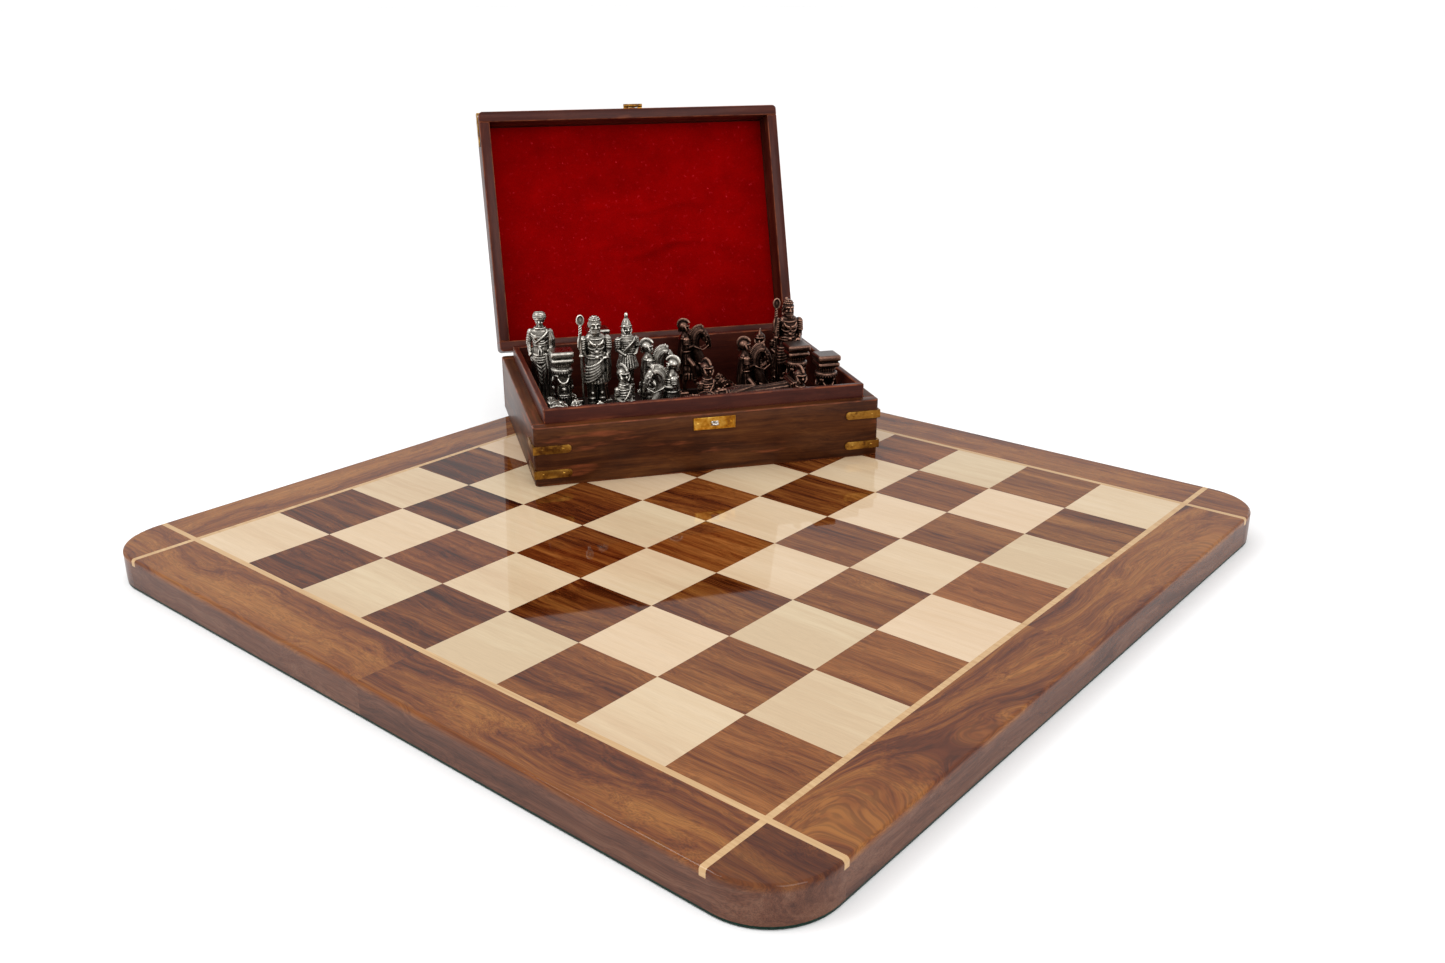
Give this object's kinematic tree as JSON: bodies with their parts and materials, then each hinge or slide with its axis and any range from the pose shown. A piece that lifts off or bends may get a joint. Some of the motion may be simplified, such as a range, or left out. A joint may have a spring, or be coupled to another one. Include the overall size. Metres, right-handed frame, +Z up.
{
  "type": "chess set with board",
  "caption": "Inlaid wooden chess board carrying an open hinged box, lined in red velvet and filled with cast metal figures of two sides.",
  "frame": {"origin": "centre of the board's felt underside", "axes": "+X and +Y along the board's edges, +Z up, the box in the quarter at low X and high Y"},
  "size_m": [0.5673, 0.5468, 0.2295],
  "materials": {
    "felt": "dark green baize",
    "border_wood": "rosewood-brown, high gloss lacquer",
    "dark_wood": "streaked dark rosewood, high gloss lacquer",
    "light_wood": "pale maple, high gloss lacquer",
    "inlay_wood": "pale maple line, high gloss lacquer",
    "box_wood": "walnut-brown with mahogany edges, satin",
    "liner_wood": "reddish mahogany, satin",
    "inside_wood": "very dark stain",
    "brass": "aged sheet brass",
    "velvet": "deep red velvet",
    "silver_metal": "antique pewter, bright edges and dark recesses",
    "copper_metal": "antique copper, dark brown with rubbed edges"
  },
  "bodies": {
    "board": {"board_felt": "felt", "board_core": "border_wood", "light_squares": "light_wood", "dark_squares": "dark_wood", "inlay_strips": "inlay_wood", "board_border": "border_wood"},
    "box": {"box_front": "box_wood", "box_back": "box_wood", "box_left": "box_wood", "box_right": "box_wood", "box_bottom": "inside_wood", "liner_front": "liner_wood", "liner_back": "liner_wood", "liner_left": "liner_wood", "liner_right": "liner_wood", "box_straps": "brass", "lock_plate": "brass", "box_hinge_halves": "brass"},
    "lid": {"lid_front": "box_wood", "lid_back": "box_wood", "lid_left": "box_wood", "lid_right": "box_wood", "lid_panel": "box_wood", "lid_velvet": "velvet", "lid_straps": "brass", "lid_hinge_halves": "brass", "hasp_leaf": "brass"},
    "hasp": {"hasp_flap": "brass"},
    "silver_queen_piece": {"silver_queen": "silver_metal"},
    "silver_rook_1_piece": {"silver_rook_1": "silver_metal"},
    "silver_king_piece": {"silver_king": "silver_metal"},
    "silver_rook_2_piece": {"silver_rook_2": "silver_metal"},
    "silver_bishop_1_piece": {"silver_bishop_1": "silver_metal"},
    "silver_knight_1_piece": {"silver_knight_1": "silver_metal"},
    "silver_knight_2_piece": {"silver_knight_2": "silver_metal"},
    "silver_pawn_1_piece": {"silver_pawn_1": "silver_metal"},
    "copper_king_piece": {"copper_king": "copper_metal"},
    "copper_rook_1_piece": {"copper_rook_1": "copper_metal"},
    "copper_rook_2_piece": {"copper_rook_2": "copper_metal"},
    "copper_bishop_1_piece": {"copper_bishop_1": "copper_metal"},
    "copper_knight_1_piece": {"copper_knight_1": "copper_metal"},
    "copper_knight_2_piece": {"copper_knight_2": "copper_metal"},
    "copper_pawn_1_piece": {"copper_pawn_1": "copper_metal"},
    "copper_pawn_2_piece": {"copper_pawn_2": "copper_metal"},
    "copper_pawn_3_piece": {"copper_pawn_3": "copper_metal"},
    "copper_pawn_4_piece": {"copper_pawn_4": "copper_metal"},
    "copper_pawn_5_piece": {"copper_pawn_5": "copper_metal"},
    "copper_pawn_6_piece": {"copper_pawn_6": "copper_metal"},
    "silver_pawn_2_piece": {"silver_pawn_2": "silver_metal"},
    "silver_bishop_2_piece": {"silver_bishop_2": "silver_metal"},
    "silver_pawn_3_piece": {"silver_pawn_3": "silver_metal"},
    "silver_pawn_4_piece": {"silver_pawn_4": "silver_metal"},
    "silver_pawn_5_piece": {"silver_pawn_5": "silver_metal"},
    "silver_pawn_6_piece": {"silver_pawn_6": "silver_metal"},
    "silver_pawn_7_piece": {"silver_pawn_7": "silver_metal"},
    "silver_pawn_8_piece": {"silver_pawn_8": "silver_metal"},
    "copper_bishop_2_piece": {"copper_bishop_2": "copper_metal"},
    "copper_queen_piece": {"copper_queen": "copper_metal"},
    "copper_pawn_7_piece": {"copper_pawn_7": "copper_metal"},
    "copper_pawn_8_piece": {"copper_pawn_8": "copper_metal"}
  },
  "joints": [
    {"name": "box_lift", "type": "slide", "parent": "board", "child": "box", "axis": [0, 0, 1], "range_m": [0, 0.05]},
    {"name": "lid_hinge", "type": "hinge", "parent": "box", "child": "lid", "pos_m": [-0.19804, 0.16831, 0.0575], "axis": [-0.5693, -0.8221, 0], "range_deg": [-82, 0]},
    {"name": "hasp_hinge", "type": "hinge", "parent": "lid", "child": "hasp", "pos_m": [-0.2438, 0.20183, 0.22818], "axis": [0.5693, 0.8221, 0], "range_deg": [0, 170]},
    {"name": "silver_queen_lift", "type": "slide", "parent": "box", "child": "silver_queen_piece", "axis": [0, 0, 1], "range_m": [0, 0.06]},
    {"name": "silver_rook_1_lift", "type": "slide", "parent": "box", "child": "silver_rook_1_piece", "axis": [0, 0, 1], "range_m": [0, 0.06]},
    {"name": "silver_king_lift", "type": "slide", "parent": "box", "child": "silver_king_piece", "axis": [0, 0, 1], "range_m": [0, 0.06]},
    {"name": "silver_rook_2_lift", "type": "slide", "parent": "box", "child": "silver_rook_2_piece", "axis": [0, 0, 1], "range_m": [0, 0.06]},
    {"name": "silver_bishop_1_lift", "type": "slide", "parent": "box", "child": "silver_bishop_1_piece", "axis": [0, 0, 1], "range_m": [0, 0.06]},
    {"name": "silver_knight_1_lift", "type": "slide", "parent": "box", "child": "silver_knight_1_piece", "axis": [0, 0, 1], "range_m": [0, 0.06]},
    {"name": "silver_knight_2_lift", "type": "slide", "parent": "box", "child": "silver_knight_2_piece", "axis": [0, 0, 1], "range_m": [0, 0.06]},
    {"name": "silver_pawn_1_lift", "type": "slide", "parent": "box", "child": "silver_pawn_1_piece", "axis": [0, 0, 1], "range_m": [0, 0.06]},
    {"name": "copper_king_lift", "type": "slide", "parent": "box", "child": "copper_king_piece", "axis": [0, 0, 1], "range_m": [0, 0.06]},
    {"name": "copper_rook_1_lift", "type": "slide", "parent": "box", "child": "copper_rook_1_piece", "axis": [0, 0, 1], "range_m": [0, 0.06]},
    {"name": "copper_rook_2_lift", "type": "slide", "parent": "box", "child": "copper_rook_2_piece", "axis": [0, 0, 1], "range_m": [0, 0.06]},
    {"name": "copper_bishop_1_lift", "type": "slide", "parent": "box", "child": "copper_bishop_1_piece", "axis": [0, 0, 1], "range_m": [0, 0.06]},
    {"name": "copper_knight_1_lift", "type": "slide", "parent": "box", "child": "copper_knight_1_piece", "axis": [0, 0, 1], "range_m": [0, 0.06]},
    {"name": "copper_knight_2_lift", "type": "slide", "parent": "box", "child": "copper_knight_2_piece", "axis": [0, 0, 1], "range_m": [0, 0.06]},
    {"name": "copper_pawn_1_lift", "type": "slide", "parent": "box", "child": "copper_pawn_1_piece", "axis": [0, 0, 1], "range_m": [0, 0.06]},
    {"name": "copper_pawn_2_lift", "type": "slide", "parent": "box", "child": "copper_pawn_2_piece", "axis": [0, 0, 1], "range_m": [0, 0.06]},
    {"name": "copper_pawn_3_lift", "type": "slide", "parent": "box", "child": "copper_pawn_3_piece", "axis": [0, 0, 1], "range_m": [0, 0.06]},
    {"name": "copper_pawn_4_lift", "type": "slide", "parent": "box", "child": "copper_pawn_4_piece", "axis": [0, 0, 1], "range_m": [0, 0.06]},
    {"name": "copper_pawn_5_lift", "type": "slide", "parent": "box", "child": "copper_pawn_5_piece", "axis": [0, 0, 1], "range_m": [0, 0.06]},
    {"name": "copper_pawn_6_lift", "type": "slide", "parent": "box", "child": "copper_pawn_6_piece", "axis": [0, 0, 1], "range_m": [0, 0.06]},
    {"name": "silver_pawn_2_lift", "type": "slide", "parent": "box", "child": "silver_pawn_2_piece", "axis": [0, 0, 1], "range_m": [0, 0.06]},
    {"name": "silver_bishop_2_lift", "type": "slide", "parent": "silver_pawn_2_piece", "child": "silver_bishop_2_piece", "axis": [0, 0, 1], "range_m": [0, 0.06]},
    {"name": "silver_pawn_3_lift", "type": "slide", "parent": "box", "child": "silver_pawn_3_piece", "axis": [0, 0, 1], "range_m": [0, 0.06]},
    {"name": "silver_pawn_4_lift", "type": "slide", "parent": "silver_pawn_3_piece", "child": "silver_pawn_4_piece", "axis": [0, 0, 1], "range_m": [0, 0.06]},
    {"name": "silver_pawn_5_lift", "type": "slide", "parent": "box", "child": "silver_pawn_5_piece", "axis": [0, 0, 1], "range_m": [0, 0.06]},
    {"name": "silver_pawn_6_lift", "type": "slide", "parent": "silver_pawn_5_piece", "child": "silver_pawn_6_piece", "axis": [0, 0, 1], "range_m": [0, 0.06]},
    {"name": "silver_pawn_7_lift", "type": "slide", "parent": "box", "child": "silver_pawn_7_piece", "axis": [0, 0, 1], "range_m": [0, 0.06]},
    {"name": "silver_pawn_8_lift", "type": "slide", "parent": "box", "child": "silver_pawn_8_piece", "axis": [0, 0, 1], "range_m": [0, 0.06]},
    {"name": "copper_bishop_2_lift", "type": "slide", "parent": "box", "child": "copper_bishop_2_piece", "axis": [0, 0, 1], "range_m": [0, 0.06]},
    {"name": "copper_queen_lift", "type": "slide", "parent": "copper_bishop_2_piece", "child": "copper_queen_piece", "axis": [0, 0, 1], "range_m": [0, 0.06]},
    {"name": "copper_pawn_7_lift", "type": "slide", "parent": "box", "child": "copper_pawn_7_piece", "axis": [0, 0, 1], "range_m": [0, 0.06]},
    {"name": "copper_pawn_8_lift", "type": "slide", "parent": "box", "child": "copper_pawn_8_piece", "axis": [0, 0, 1], "range_m": [0, 0.06]}
  ]
}
